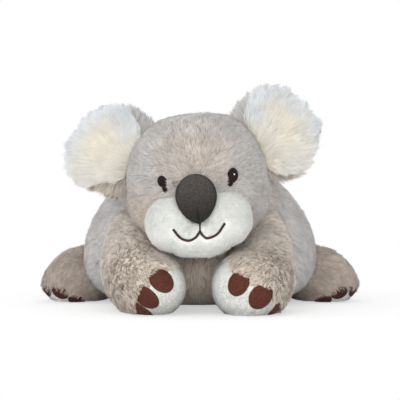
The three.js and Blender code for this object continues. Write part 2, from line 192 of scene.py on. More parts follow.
# How strands differ: the sizes and shares of their drift, then their lengths, widths and rise.
DRIFTS = ((22, 0.55), (6, 0.5))
DRIFT_SHIFTS = (17.3, 5.1, 11.7)
LENGTH_RANGE = (0.75, 1.15)
WIDTH_RANGE = (0.75, 1.25)
LIFT_SPREAD_DEG = 7
ROOT_RISE, RISE_LOST = 1.35, 0.8
ROOT_DEPTH = 0.8
TUFT_TONE = 0.5
CLUMP_POWER = 1.5
# No pile grows on what faces the floor.
BARE_BELOW = -0.98

# The studio, in metres and watts: each light's name, place, size and power.
LIGHTS = (
    ("key", (-0.75, -1.7, 1.0), 1.6, 12.6),
    ("front", (0.15, -2.4, 0.4), 1.0, 19),
    ("fill", (1.0, -1.5, 0.5), 1.4, 5.2),
    ("side", (-1.7, -0.4, 0.7), 1.4, 5),
    ("top", (0.0, 0.2, 1.8), 1.6, 5),
    ("back", (0.3, 2.0, 1.0), 1.6, 5),
)
LIGHTS_AIM = (0, 0, 0.08)
WORLD_STRENGTH = 0.66
FLOOR_SPAN = 4000
# The floor turns white between these distances, from this share to that.
FLOOR_WHITE = (0.16, 0.34, 0.5, 1.0)

# Blender's noise would otherwise take its seed from the clock.
RNG = np.random.default_rng(20)
noise.seed_set(20)


def unit(vectors):
    vectors = np.asarray(vectors, float)
    return vectors / np.maximum(np.linalg.norm(vectors, axis=-1, keepdims=True), 1e-9)


# A form is a function from directions on a unit sphere to points on its surface.
def sphere():
    """The directions and triangles of a fine, even sphere."""
    ball = bmesh.new()
    bmesh.ops.create_icosphere(ball, subdivisions=SPHERE_SUBDIVISIONS, radius=1)
    points = unit([v.co for v in ball.verts])
    faces = np.array([[v.index for v in f.verts] for f in ball.faces])
    ball.free()
    return points, faces


SPHERE, SPHERE_FACES = sphere()


def bulk_of(first, second, power):
    return (np.abs(first) ** power + np.abs(second) ** power) ** (1 / power)


def egg(directions, half_width, front, back, rise, drop, curves):
    x, y, z = directions.T
    upright = np.where(z < 0, curves["below"], curves["above"])
    bulk = bulk_of(bulk_of(x, y, curves["plan"]), z, upright)
    across = np.full(len(x), float(half_width))
    reach = np.stack([across, np.where(y < 0, front, back), np.where(z < 0, drop, rise)], 1)
    return directions * reach / bulk[:, None]


def pad(half_width, depth, half_height):
    return egg(SPHERE, half_width, depth, depth, half_height, half_height, ROUND)


def quadratic(controls, share):
    """A quadratic Bezier through the first and last control, with its slope."""
    first, middle, last = (np.asarray(c, float) for c in controls)
    s = np.asarray(share, float)
    s = s[:, None] if first.ndim else s
    place = (1 - s) ** 2 * first + 2 * (1 - s) * s * middle + s ** 2 * last
    slope = 2 * (1 - s) * (middle - first) + 2 * s * (last - middle)
    return place, slope


def spine_axes(spine, share):
    place, slope = quadratic(spine, share)
    tangent = unit(slope)
    side = unit(np.cross(tangent, (0, 0, 1)))
    over = unit(np.cross(side, tangent))
    return place, tangent, side, over


def limb(spine, half_width, half_height, swells, fullness, crest):
    """A limb's skin points, and each one's share of the way along the spine."""
    pole = np.arccos(np.clip(-SPHERE[:, 1], -1, 1))
    turn = np.arctan2(SPHERE[:, 0], SPHERE[:, 2])
    share = (1 - np.cos(pole)) / 2
    swell = np.sin(pole).clip(0) ** fullness * quadratic(swells, share)[0]
    place, _, side, over = spine_axes(spine, share)
    sideways, upright = np.sin(turn), np.cos(turn)
    bulk = bulk_of(sideways, upright, np.where(upright > 0, crest, 2))
    across = (sideways / bulk * half_width * swell)[:, None]
    upward = (upright / bulk * half_height * swell)[:, None]
    return place + side * across + over * upward, share


def point_normals(points, faces):
    a, b, c = points[faces[:, 0]], points[faces[:, 1]], points[faces[:, 2]]
    flat = np.cross(b - a, c - a)
    total = np.zeros_like(points)
    for corner in range(3):
        np.add.at(total, faces[:, corner], flat)
    return unit(total)


def inset(points, faces=SPHERE_FACES, depth=SKIN_INSET):
    """The form's skin: moved inwards, but still resting on the floor."""
    skin = points - point_normals(points, faces) * depth
    settle = depth * (1 - skin[:, 2] / (SETTLING_DEPTHS * depth)).clip(0, 1)
    skin[:, 2] = np.maximum(skin[:, 2] - settle, FLOOR_CLEARANCE)
    return skin


def add_object(name, data):
    made = bpy.data.objects.new(name, data)
    bpy.context.scene.collection.objects.link(made)
    return made


def mesh_object(name, points, faces):
    mesh = bpy.data.meshes.new(name)
    places = (np.asarray(points) * MM).tolist()
    mesh.from_pydata(places, [], [list(map(int, face)) for face in faces])
    mesh.shade_smooth()
    return add_object(name, mesh)


def add_attribute(mesh, label, values):
    layer = mesh.attributes.new(label, "FLOAT", "POINT")
    layer.data.foreach_set("value", values.astype(np.float32))


def evaluated_mesh(made):
    """The mesh of an object as its modifiers or its curve's bevel leave it."""
    graph = bpy.context.evaluated_depsgraph_get()
    return bpy.data.meshes.new_from_object(made.evaluated_get(graph))


def tree_of(points, faces):
    return BVHTree.FromPolygons(points.tolist(), faces.tolist())


def ease(low_edge, high_edge, value):
    """0 to 1, smoothly, as the value goes from one edge to the other."""
    t = np.clip((np.asarray(value, float) - low_edge) / (high_edge - low_edge), 0, 1)
    return t * t * (3 - 2 * t)


# Points of a skin, with its normals and its share there.
Spots = namedtuple("Spots", "roots normals share")


class Skin:
    """A triangulated surface that pile grows on."""

    def __init__(self, points, faces=SPHERE_FACES, share=None):
        self.points, self.faces = points, faces
        self.normals = point_normals(points, faces)
        self.share = np.zeros(len(points)) if share is None else share
        a, b, c = (points[faces[:, k]] for k in range(3))
        self.areas = np.linalg.norm(np.cross(b - a, c - a), axis=1) / 2

    def sample(self, density):
        """Random spots, at so many to a square millimetre."""
        count = int(self.areas.sum() * density)
        chosen = RNG.choice(len(self.faces), count, p=self.areas / self.areas.sum())
        first, second = RNG.random(count), RNG.random(count)
        over = first + second > 1
        first[over], second[over] = 1 - first[over], 1 - second[over]
        weights = np.stack([1 - first - second, first, second], 1)[:, :, None]
        corners = self.faces[chosen]
        return Spots(
            (self.points[corners] * weights).sum(1),
            unit((self.normals[corners] * weights).sum(1)),
            (self.share[corners] * weights[:, :, 0]).sum(1),
        )


def drift(points, size, seed):
    """A smooth random vector at each point, which changes over that size."""
    shift = Vector([seed * part for part in DRIFT_SHIFTS])
    return np.array([noise.noise_vector(Vector(p) / size + shift) for p in points.tolist()])


def flatten(vectors, normals):
    """The part of each vector that lies along the surface, at unit length."""
    along = vectors - normals * (vectors * normals).sum(1, keepdims=True)
    return unit(along)


def strand_faces(rings):
    """The corners of one strand's faces in order, and each face's number of them."""
    def corner(ring, side):
        return ring * SIDES + side % SIDES

    faces = [
        (corner(ring, side), corner(ring, side + 1),
         corner(ring + 1, side + 1), corner(ring + 1, side))
        for ring in range(rings - 1) for side in range(SIDES)
    ]
    faces += [
        (corner(rings - 1, side), corner(rings - 1, side + 1), rings * SIDES)
        for side in range(SIDES)
    ]
    faces.append(tuple(reversed(range(SIDES))))
    return np.array([c for face in faces for c in face]), np.array([len(face) for face in faces])


def strands(name, roots, normals, paths, widths, tone, zone, lean):
    """Builds tapered strands through each root's path of points.

    Shading normals lean towards the skin's, so that the pile looks soft. The material reads the
    tone and zone of each strand and the share of the way along it.
    """
    count, rings = len(roots), paths.shape[1] - 1
    heading = unit(paths[:, 1] - paths[:, 0])
    across = unit(np.cross(heading, normals) + 1e-6)
    lifted = unit(np.cross(heading, across))
    spin = RNG.random(count) * 2 * math.pi
    taper = np.linspace(1, 0, rings + 1) ** TAPER_POWER
    points, shading = [], []
    for ring in range(rings):
        for side in range(SIDES):
            angle = (spin + side * 2 * math.pi / SIDES)[:, None]
            out = across * np.cos(angle) + lifted * np.sin(angle)
            points.append(paths[:, ring] + out * (widths * taper[ring] / 2)[:, None])
            shading.append(unit(lean + out * ROUNDNESS + heading * HEADING_SHARE))
    points.append(paths[:, rings])
    shading.append(unit(lean + heading * TIP_HEADING_SHARE))
    points, shading = np.stack(points, 1), np.stack(shading, 1)
    each = points.shape[1]
    corners, sizes = strand_faces(rings)
    loops = (np.arange(count)[:, None] * each + corners[None, :]).ravel()
    all_sizes = np.tile(sizes, count)
    starts = np.concatenate([[0], np.cumsum(all_sizes)[:-1]])

    mesh = bpy.data.meshes.new(name)
    mesh.vertices.add(count * each)
    mesh.vertices.foreach_set("co", (points * MM).astype(np.float32).ravel())
    mesh.loops.add(len(loops))
    mesh.loops.foreach_set("vertex_index", loops.astype(np.int32))
    mesh.polygons.add(len(all_sizes))
    mesh.polygons.foreach_set("loop_start", starts.astype(np.int32))
    mesh.update(calc_edges=True)
    mesh.shade_smooth()
    mesh.normals_split_custom_set_from_vertices(shading.reshape(-1, 3).tolist())

    along = np.repeat(np.arange(rings + 1) / rings, [SIDES] * rings + [1])
    add_attribute(mesh, "pile_share", np.tile(along, count))
    add_attribute(mesh, "pile_tone", np.repeat(tone, each))
    add_attribute(mesh, "pile_zone", np.repeat(zone, each))

    # Each strand has a cell of its own in the bake's map.
    cells = math.ceil(math.sqrt(count))
    cell = np.arange(count)
    local_u = np.append(np.tile(np.linspace(UV_MARGIN, 1 - UV_MARGIN, SIDES), rings), 0.5)
    local_v = UV_MARGIN + (1 - 2 * UV_MARGIN) * along
    u = ((cell % cells)[:, None] + local_u[None, corners]) / cells
    v = ((cell // cells)[:, None] + local_v[None, corners]) / cells
    uv = mesh.uv_layers.new(name="OFBake")
    uv.data.foreach_set("uv", np.stack([u, v], -1).astype(np.float32).ravel())
    return add_object(name, mesh)


def pile(name, skin, flow, material, body, slot, *, density, length, width, lift_deg, clump=0.35,
         clump_size=4.0, point=0.5, stray=0.25, tuft_stray=1.0, steps=STEPS, sag=0.06, seed,
         keep=None, zone=None, length_of=None, lift_of=None, stray_of=None, clump_of=None,
         lean_of=None, trim=None):
    """Grows pile on a skin and dresses it, in as many objects as it needs."""
    at = skin.sample(density)
    kept = at.normals[:, 2] > BARE_BELOW
    if keep:
        kept &= keep(at)
    at = Spots(*(values[kept] for values in at))
    roots, normals, _ = at
    count = len(roots)

    # The lie of the strands. Tufts' heads may stray less, so that tufts don't part.
    wander = sum(drift(roots, size, seed + i) * part for i, (size, part) in enumerate(DRIFTS))
    wander += RNG.normal(0, stray, (count, 3))
    if stray_of:
        wander *= stray_of(at)[:, None]
    tufts = max(count // max(int(density * clump_size ** 2), 1), 1)
    heads = RNG.choice(count, tufts, replace=False)
    wander[heads] *= tuft_stray
    comb = flatten(flow(at) + wander, normals)

    # The path of each strand.
    lengths = length * RNG.uniform(*LENGTH_RANGE, count)
    if length_of:
        lengths *= length_of(at)
    lift = np.radians(lift_deg + RNG.normal(0, LIFT_SPREAD_DEG, count))
    if lift_of:
        lift += np.radians(lift_of(at))
    path = [roots - normals * ROOT_DEPTH]
    for step in range(steps):
        rise = lift * (ROOT_RISE - RISE_LOST * step / max(steps - 1, 1))
        way = comb * np.cos(rise)[:, None] + normals * np.sin(rise)[:, None]
        way[:, 2] -= sag * (step + 1)
        path.append(path[-1] + unit(way) * (lengths / steps)[:, None])
    path = np.stack(path, 1)

    # The strands draw together towards their tuft's head.
    near = kdtree.KDTree(len(heads))
    for i, head in enumerate(heads.tolist()):
        near.insert(roots[head], i)
    near.balance()
    nearest = heads[np.array([near.find(p)[1] for p in roots.tolist()])]
    if trim:
        share_left = trim(path[:, 0], path[:, -1])[nearest, None, None]
        path = path[:, :1] + (path - path[:, :1]) * share_left
    clumping = clump if clump_of is None else clump_of(at)[:, None]
    for step in range(1, steps + 1):
        pull = clumping * (step / steps) ** CLUMP_POWER
        gather = (path[nearest, step] - roots[nearest]) - (path[:, step] - roots)
        middle = path[nearest, step] - path[:, step]
        path[:, step] += pull * ((1 - point) * gather + point * middle)
    path[:, 1:, 2] = np.maximum(path[:, 1:, 2], PILE_CLEARANCE)

    widths = width * RNG.uniform(*WIDTH_RANGE, count)
    tone = (1 - TUFT_TONE) * RNG.random(count) + TUFT_TONE * RNG.random(count)[nearest]
    zones = np.zeros(count) if zone is None else zone(at)
    lean = normals * PLAIN_LEAN if lean_of is None else lean_of(at)
    order = np.argsort(nearest, kind="stable")
    strand_triangles = 2 * SIDES * steps - 2
    parts = max(math.ceil(count * strand_triangles / MOST_TRIANGLES), 1)
    for part, rows in enumerate(np.array_split(order, parts), 1):
        made = strands(name if parts == 1 else f"{name}_{part}", *(
            values[rows] for values in (roots, normals, path, widths, tone, zones, lean)))
        dress(made, material, body, slot)


# Materials.
def linear(srgb):
    """The linear colour of a colour written as 0 to 255, as it looks on a screen."""
    share = np.asarray(srgb, float) / 255
    curved = ((share + 0.055) / 1.055) ** 2.4
    return (*np.where(share <= 0.04045, share / 12.92, curved).tolist(), 1.0)


# The range that most of a noise node's values lie in.
NOISE_RANGE = (0.3, 0.7)


def fill(node, **values):
    """Sets a node's inputs, whose names have _ here for each space."""
    for label, value in values.items():
        node.inputs[label.replace("_", " ")].default_value = value
    return node


class Nodes:
    """A material's node tree, with its principled shader."""

    def __init__(self, name, roughness, sheen=0.0, specular=0.2):
        self.material = bpy.data.materials.new(name)
        self.material.use_nodes = True
        self.tree = self.material.node_tree
        self.shader = self.tree.nodes["Principled BSDF"]
        fill(self.shader, Roughness=roughness, Specular_IOR_Level=specular,
             Sheen_Weight=sheen, Sheen_Roughness=0.5)

    def add(self, kind, **settings):
        node = self.tree.nodes.new(kind)
        for key, value in settings.items():
            setattr(node, key, value)
        return node

    def link(self, source, target):
        self.tree.links.new(source, target)

    def attribute(self, name):
        return self.add("ShaderNodeAttribute", attribute_name=name).outputs["Fac"]

    def noise(self, scale, detail=3.0):
        node = fill(self.add("ShaderNodeTexNoise"), Scale=scale, Detail=detail)
        self.link(self.add("ShaderNodeTexCoord").outputs["Object"], node.inputs["Vector"])
        return node.outputs["Fac"]

    def spread(self, source, from_low, from_high, to_low, to_high):
        node = fill(self.add("ShaderNodeMapRange"), From_Min=from_low, From_Max=from_high,
                    To_Min=to_low, To_Max=to_high)
        self.link(source, node.inputs["Value"])
        return node.outputs["Result"]

    def mix(self, factor, first, second, blend="MIX"):
        node = self.add("ShaderNodeMix", data_type="RGBA", blend_type=blend)
        sockets = (node.inputs[0], node.inputs[6], node.inputs[7])
        for socket, value in zip(sockets, (factor, first, second)):
            if isinstance(value, bpy.types.NodeSocket):
                self.link(value, socket)
            else:
                socket.default_value = value
        return node.outputs[2]

    def bump(self, height, distance):
        node = fill(self.add("ShaderNodeBump"), Distance=distance)
        self.link(height, node.inputs["Height"])
        self.link(node.outputs["Normal"], self.shader.inputs["Normal"])

    def colour(self, socket):
        self.link(socket, self.shader.inputs["Base Color"])
        return self.material


def pile_material(name, root, tip, other_root, other_tip, tone, patch=0.14, sheen=0.15):
    """Pile that pales from root to tip, in two colourings that its zone blends."""
    nodes = Nodes(f"{name}_strands", roughness=0.9, sheen=sheen)
    share = nodes.attribute("pile_share")
    one = nodes.mix(share, linear(root), linear(tip))
    two = nodes.mix(share, linear(other_root), linear(other_tip))
    colour = nodes.mix(nodes.attribute("pile_zone"), one, two)
    patches = nodes.spread(nodes.noise(scale=45.0), *NOISE_RANGE, 1 - patch, 1 + patch * 0.5)
    tones = nodes.spread(nodes.attribute("pile_tone"), 0.0, 1.0, 1 - tone, 1 + tone * 0.6)
    colour = nodes.mix(1.0, colour, patches, "MULTIPLY")
    return nodes.colour(nodes.mix(1.0, colour, tones, "MULTIPLY"))


def skin_material(name, light, dark):
    """The knitted backing that the pile grows from."""
    nodes = Nodes(name, roughness=0.95, specular=0.1)
    knit = nodes.noise(scale=900.0, detail=2.0)
    nodes.bump(knit, distance=0.0004)
    return nodes.colour(nodes.mix(nodes.noise(scale=60.0), linear(light), linear(dark)))


GREY_PILE = pile_material(
    "grey_pile", (164, 161, 157), (214, 211, 208), (168, 150, 134), (226, 211, 197), tone=0.24)
# Its second colouring is browner, as the chest is, with paler tips that are painted light for the
# shade between the arms.
BODY_PILE = pile_material(
    "body_pile", (172, 169, 166), (226, 223, 221), (184, 167, 150), (252, 240, 226), tone=0.22)
ARM_PILE = pile_material(
    "arm_pile", (156, 148, 139), (234, 225, 217), (148, 131, 115), (252, 239, 225),
    tone=0.34, patch=0.16)
LEG_PILE = pile_material(
    "leg_pile", (150, 138, 127), (212, 198, 187), (134, 121, 110), (196, 182, 170), tone=0.26)
GREY_SKIN = skin_material("grey_backing", (176, 166, 156), (150, 140, 130))
# Its second, paler colouring is painted light, for the muzzle's underside.
WHITE_PILE = pile_material(
    "white_pile", (206, 208, 202), (231, 233, 227), (226, 227, 222), (243, 244, 240),
    tone=0.12, patch=0.04)
# Its second, greyer colouring is painted shade, for the soles' lower part.
SOLE_PILE = pile_material(
    "sole_pile", (190, 192, 187), (220, 222, 217), (180, 182, 177), (206, 208, 203),
    tone=0.08, patch=0.05)
WHITE_SKIN = skin_material("white_backing", (236, 236, 232), (222, 222, 216))
CREAM_PILE = pile_material(
    "cream_pile", (222, 214, 192), (242, 237, 225), (198, 202, 204), (229, 232, 235),
    tone=0.17, patch=0.05)
CREAM_SKIN = skin_material("cream_backing", (240, 230, 205), (228, 216, 188))


def velour_material():
    nodes = Nodes("nose_velour", roughness=0.9, sheen=0.03, specular=0.06)
    nap = nodes.noise(scale=700.0, detail=2.0)
    nodes.bump(nap, distance=0.0003)
    # Painted light: the velour is lighter towards the top, and darker at its rim and in its crease.
    shade = nodes.mix(nodes.attribute("nose_painted_light"), linear((45, 43, 41)), linear((71, 67, 64)))
    mottle = nodes.spread(nap, *NOISE_RANGE, 0.62, 1.25)
    return nodes.colour(nodes.mix(1.0, shade, mottle, "MULTIPLY"))


def thread_material(name, dark, light, roughness):
    nodes = Nodes(name, roughness)
    ply = nodes.noise(scale=1500.0, detail=2.0)
    nodes.bump(ply, distance=0.0001)
    shade = nodes.spread(nodes.noise(scale=400.0), *NOISE_RANGE, 0.0, 1.0)
    return nodes.colour(nodes.mix(shade, linear(dark), linear(light)))


NOSE_VELOUR = velour_material()
# Its second, paler colouring is a painted lit copy of the nap.
NOSE_NAP = pile_material(
    "nose_nap", (32, 30, 28), (50, 48, 46), (56, 52, 49), (88, 82, 78),
    tone=0.4, patch=0.1, sheen=0.03)
CLAW_THREAD = thread_material("claw_thread", (74, 38, 28), (94, 50, 37), 0.65)
FOOT_CLAW_THREAD = thread_material("foot_claw_thread", (46, 18, 13), (64, 26, 19), 0.65)
EYE_THREAD = thread_material("eye_thread", (22, 10, 10), (36, 17, 17), 0.6)
MOUTH_THREAD = thread_material("mouth_thread", (46, 34, 33), (64, 49, 47), 0.6)
GLINT_THREAD = thread_material("glint_thread", (240, 238, 236), (255, 254, 252), 0.4)


def dress(made, material, body, slot, *replaced, padded=None):
    made.data.materials.append(material)
    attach(made, body)
    if replaced:
        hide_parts(*replaced)


def panel(name, points, faces):
    """A part of a skin, as a thin sheet of backing."""
    used, fresh = np.unique(faces, return_inverse=True)
    made = mesh_object(name, points[used], fresh.reshape(-1, 3))
    thick = made.modifiers.new("thick", "SOLIDIFY")
    thick.thickness = BACKING_THICKNESS * MM
    thick.offset = -1
    return made


def satin(name, tree, origin, side, along, facing, half_width, half_length, material, body, slot,
          *replaced, dome, pitch):
    """Satin stitch: threads side by side across an oval, where rays meet the form."""
    rows = int(2 * half_length / pitch)
    steps, ring = 9, 6
    thread_radius = 0.62
    lift = 0.3
    points, faces = [], []
    for row in range(rows):
        b = (row + 0.5) / rows * 2 - 1
        reach = math.sqrt(max(1 - b * b, 0)) * half_width
        lines = []
        for step in range(steps):
            a = (step / (steps - 1) * 2 - 1) * reach
            start = origin + side * a + along * (b * half_length)
            hit, normal, _, _ = tree.ray_cast(Vector(start), Vector(facing))
            if hit is None:
                break
            bulge = dome * (1 - (a / half_width) ** 2 - (b * 0.98) ** 2)
            lines.append(np.array(hit) + np.array(normal) * (lift + max(bulge, 0)))
        if len(lines) < steps:
            continue
        lines = np.array(lines)
        lines[:, 2] = np.maximum(lines[:, 2], pitch)
        tangents = unit(np.gradient(lines, axis=0))
        ups = unit(np.cross(np.cross(tangents, facing), tangents))
        ups = np.where((ups * facing).sum(1, keepdims=True) < 0, -ups, ups)
        outs = unit(np.cross(tangents, ups))
        base = len(points)
        for step in range(steps):
            for k in range(ring):
                angle = 2 * math.pi * k / ring
                out = outs[step] * math.cos(angle) + ups[step] * math.sin(angle)
                points.append(lines[step] + out * pitch * thread_radius)
        for step in range(steps - 1):
            for k in range(ring):
                here = base + step * ring + k
                following = base + step * ring + (k + 1) % ring
                faces.append((here, following, following + ring, here + ring))
        faces.append(tuple(base + k for k in reversed(range(ring))))
        faces.append(tuple(base + (steps - 1) * ring + k for k in range(ring)))
    dress(mesh_object(name, points, faces), material, body, slot, *replaced)


def plush_skin(node, skin, body, padded):
    """A grey plush piece's backing, which stands for its solid."""
    made = mesh_object(f"{node}_skin", skin.points, skin.faces)
    dress(made, GREY_SKIN, body, "grey_plush", node, padded=padded)


# The camera.
def add_camera():
    camera = add_object("camera", bpy.data.cameras.new("camera"))
    camera.data.lens = CAMERA_LENS
    camera.location = Vector(CAMERA_PLACE) * MM
    camera.rotation_euler = (math.radians(90 - CAMERA_TILT_DEG), 0, 0)
    camera.data.clip_start, camera.data.clip_end = CAMERA_CLIP
    bpy.context.scene.camera = camera


add_camera()

# Body.
body_form = egg(SPHERE, **BODY, curves=BODY_CURVES) + BODY_PLACE
body_skin = Skin(inset(body_form))
plush_skin("body", body_skin, "trunk", 0.7)


def body_flow(at):
    """Back and down, and outward on each flank."""
    return np.tanh(at.roots[:, :1] / 45) * (0.5, 0, 0) + (0, 0.75, -0.75)


def body_zone(at):
    """Browner in front, between the arms, as the chest is, and lighter there: painted light against
    the shade between the arms.
    """
    return ease(20, -20, at.roots[:, 1]) * ease(90, 50, np.abs(at.roots[:, 0]))


pile("body_pile", body_skin, body_flow, BODY_PILE, "trunk", "grey_plush", **BODY_FUR,
     zone=body_zone)

# Head.
HEAD_TURN = np.array(Matrix.Rotation(math.radians(HEAD_ROLL_DEG), 3, "Y"))
# Before this plane the head's pile leads round the muzzle, the nose and the eyes.
FACE_PLANE = HEAD_PLACE[1] - 10


def in_head(points):
    return np.asarray(points, float) @ HEAD_TURN.T + HEAD_PLACE


def head_way(vector):
    return unit(np.asarray(vector, float) @ HEAD_TURN.T)


head_form = in_head(egg(SPHERE, **HEAD, curves=HEAD_CURVES))
head_skin = Skin(inset(head_form))
plush_skin("head", head_skin, "head", 0.8)
head_tree = tree_of(head_form, SPHERE_FACES)


def blended(name, forms, voxel, smoothing, depth):
    """Several forms made into one soft skin."""
    points = np.concatenate([form - point_normals(form, SPHERE_FACES) * depth for form in forms])
    faces = np.concatenate([SPHERE_FACES + i * len(SPHERE) for i in range(len(forms))])
    made = mesh_object(name, points, faces)
    remesh = made.modifiers.new("remesh", "REMESH")
    remesh.mode = "VOXEL"
    remesh.voxel_size = voxel * MM
    relax = made.modifiers.new("relax", "SMOOTH")
    relax.iterations = smoothing
    relax.factor = 0.8
    made.modifiers.new("split", "TRIANGULATE")
    baked = evaluated_mesh(made)
    made.modifiers.clear()
    made.data = baked
    made.data.name = name
    made.data.shade_smooth()
    points = np.empty(len(baked.vertices) * 3)
    baked.vertices.foreach_get("co", points)
    faces = np.empty(len(baked.polygons) * 3, int)
    baked.polygons.foreach_get("vertices", faces)
    return made, Skin(points.reshape(-1, 3) / MM, faces.reshape(-1, 3))


muzzle_x, muzzle_y, muzzle_z = MUZZLE_MIDDLE
lobes = [in_head(pad(*LOBE) + (muzzle_x + side * LOBE_SPREAD, muzzle_y, muzzle_z))
         for side in (LEFT, RIGHT)]
chin = in_head(pad(*CHIN) + (muzzle_x, muzzle_y, muzzle_z - CHIN_DROP))
muzzle_piece, muzzle_skin = blended("muzzle_skin", [*lobes, chin], **MUZZLE_BLEND)
dress(muzzle_piece, WHITE_SKIN, "head", "white_pile", "muzzle", padded=0.7)
muzzle_tree = tree_of(muzzle_skin.points, muzzle_skin.faces)
muzzle_centre = in_head(MUZZLE_MIDDLE)


def smooth_line(places):
    """A smooth curve through the places, as many points."""
    places = np.array(places, float)
    slopes = np.gradient(places, axis=0)
    spots = np.linspace(0, len(places) - 1, 10 * (len(places) - 1) + 1)
    start = np.clip(spots.astype(int), 0, len(places) - 2)
    t = (spots - start)[:, None]
    leave = (2 * t**3 - 3 * t**2 + 1) * places[start] + (t**3 - 2 * t**2 + t) * slopes[start]
    arrive = (3 * t**2 - 2 * t**3) * places[start + 1] + (t**3 - t**2) * slopes[start + 1]
    return leave + arrive


mouth_lines = {label: smooth_line(places) for label, places in MOUTH_POINTS.items()}


def off_mouth(roots):
    """How far roots lie from the mouth's lines, seen from the front."""
    line = np.concatenate(list(mouth_lines.values()))
    return np.min([np.hypot(roots[:, 0] - x, roots[:, 2] - z) for x, z in line.tolist()], axis=0)


# Nose.
NOSE_NARROWING = 0.1
CREASE_HALF_WIDTH = 1.4
CREASE_SPAN = (7, 20)
CREASE_DEPTH = 3
# How high above its middle the nose is painted lightest, as if lit from above, and how high its
# painted rim shadow reaches.
NOSE_LIT_HEIGHT = 20
NOSE_RIM_HEIGHT = 23.5


def shape_nose():
    """The nose about its middle, with its crease, and the painted light on its velour: lighter
    towards the top, with painted shadow at its rim and in its crease.
    """
    local = egg(SPHERE, **NOSE, curves=ROUND)
    x, y, z = local.T
    x *= 1 - NOSE_NARROWING * ease(0, 1, -z / NOSE["drop"])
    crease = np.exp(-(x / CREASE_HALF_WIDTH) ** 2) * ease(*CREASE_SPAN, -z) * (y < 0)
    y += CREASE_DEPTH * crease
    # Painted light and shade: lighter towards the top as if lit from above, with painted shadow at
    # the rim under the fur round it and in the crease.
    rim = ease(0.78, 1, np.hypot(x / NOSE["half_width"], z / NOSE_RIM_HEIGHT))
    light = ease(-NOSE["drop"], NOSE_LIT_HEIGHT, z) * (1 - 0.9 * rim) * (1 - 0.8 * crease)
    return local, light


nose_centre = in_head((muzzle_x, muzzle_y - NOSE_SET_FORWARD, muzzle_z + NOSE_ABOVE_MUZZLE))
nose_local, nose_painted_light = shape_nose()
nose_form = nose_local @ HEAD_TURN.T + nose_centre
nose_skin = Skin(nose_form, share=nose_painted_light)
nose_piece = mesh_object("nose_velour", nose_form, SPHERE_FACES)
add_attribute(nose_piece.data, "nose_painted_light", nose_painted_light)
dress(nose_piece, NOSE_VELOUR, "head", "dark_velour", "nose", padded=0.8)
nose_tree = tree_of(nose_form, SPHERE_FACES)
eye_places = {
    side: in_head((EYE_MIDDLE[0] + side * EYE_SPREAD, -HEAD["front"], EYE_MIDDLE[1]))
    for side in (LEFT, RIGHT)
}


# The pile of the head, the nose and the muzzle.
def inside(tree, points, margin):
    """Which points lie inside a closed form, or within a margin of it."""
    found = []
    for p in points.tolist():
        place, normal, _, distance = tree.find_nearest(p)
        within = (Vector(p) - place).dot(normal) < 0
        found.append(within or distance < margin)
    return np.array(found)


def from_nose(roots):
    """The way that the head's pile leads: away from the nose's upper end, and back."""
    return unit(roots - (nose_centre + (0, -6, 14))) + (0, 0.35, 0)


def eye_reach(roots, side, grow):
    """How far roots lie from an eye, in its reaches, and whether pile leads to it."""
    away = roots - eye_places[side]
    reach = np.min([
        np.hypot((away[:, 0] - side * outward) / (half_width + grow),
                 (away[:, 2] - raised) / (half_height + grow))
        for outward, raised, half_width, half_height in EYE_OVALS[side]
    ], axis=0)
    toward = (away * from_nose(roots))[:, [0, 2]].sum(1) < 0
    return reach, toward


def head_keep(at):
    front = at.roots[:, 1] < FACE_PLANE
    clear = np.ones(len(at.roots), bool)
    rows = np.flatnonzero(front)
    fore = at.roots[rows]
    clear[rows] = ~(inside(muzzle_tree, fore, 1.0) | inside(nose_tree, fore, 0.0))
    for side in (LEFT, RIGHT):
        clear &= ~(front & (eye_reach(at.roots, side, -0.7)[0] < 1))
    return clear


def head_length(at):
    """Short round the eyes, so that it doesn't cover them."""
    short = np.ones(len(at.roots))
    for side in (LEFT, RIGHT):
        reach, toward = eye_reach(at.roots, side, 0)
        leading = 0.3 + 0.7 * ease(1.1, 2.4, reach)
        short = np.minimum(short, np.where(toward, leading, 0.8))
    return np.where(at.roots[:, 1] < FACE_PLANE, short, 1.1)


def head_zone(at):
    """Browner over the brow and on the cheeks, greyer round them."""
    brow = in_head((0, -HEAD["front"], 32))
    off_brow = np.linalg.norm((at.roots - brow) / (46, 90, 34), axis=1)
    cheeks = 0.5 - 0.3 * np.tanh(at.roots[:, 0] / 30)
    cheeks *= ease(HEAD_PLACE[2] + 15, HEAD_PLACE[2] - 20, at.roots[:, 2])
    return np.maximum(0.55 * ease(1.3, 0.2, off_brow), cheeks)


def muzzle_flow(at):
    return unit(at.roots - muzzle_centre - (0, 0, 8)) + (0, 0.2, -0.25)


def muzzle_length(at):
    """Longer at the sides, and short beside the mouth."""
    sides = 1 + 0.5 * ease(-0.6, 0.1, at.normals[:, 1])
    return sides * (0.4 + 0.6 * ease(1, 6, off_mouth(at.roots)))


pile("head_pile", head_skin, lambda at: from_nose(at.roots), GREY_PILE, "head", "grey_plush",
     **HEAD_FUR, keep=head_keep, length_of=head_length, zone=head_zone)
# The nap's second, paler colouring follows the nose's painted light: lighter towards the top,
# darker at the rim and in the crease.
pile("nose_nap", nose_skin, lambda at: (0, 0, -1), NOSE_NAP, "head", "dark_velour",
     **NOSE_FUR, keep=lambda at: at.normals[:, 1] < 0.3, zone=lambda at: at.share)
# The muzzle's down-facing part takes the pile's second, paler colouring: painted light against the
# shade under the chin.
pile("muzzle_pile", muzzle_skin, muzzle_flow, WHITE_PILE, "head", "white_pile", **MUZZLE_FUR,
     keep=lambda at: off_mouth(at.roots) > MOUTH_CLEAR, length_of=muzzle_length,
     lift_of=lambda at: 20 * ease(-0.6, 0, at.normals[:, 1]),
     lean_of=lambda at: unit(at.normals + (0, -0.7, 0.1)) * PLAIN_LEAN,
     zone=lambda at: ease(0.25, -0.55, at.normals[:, 2]))


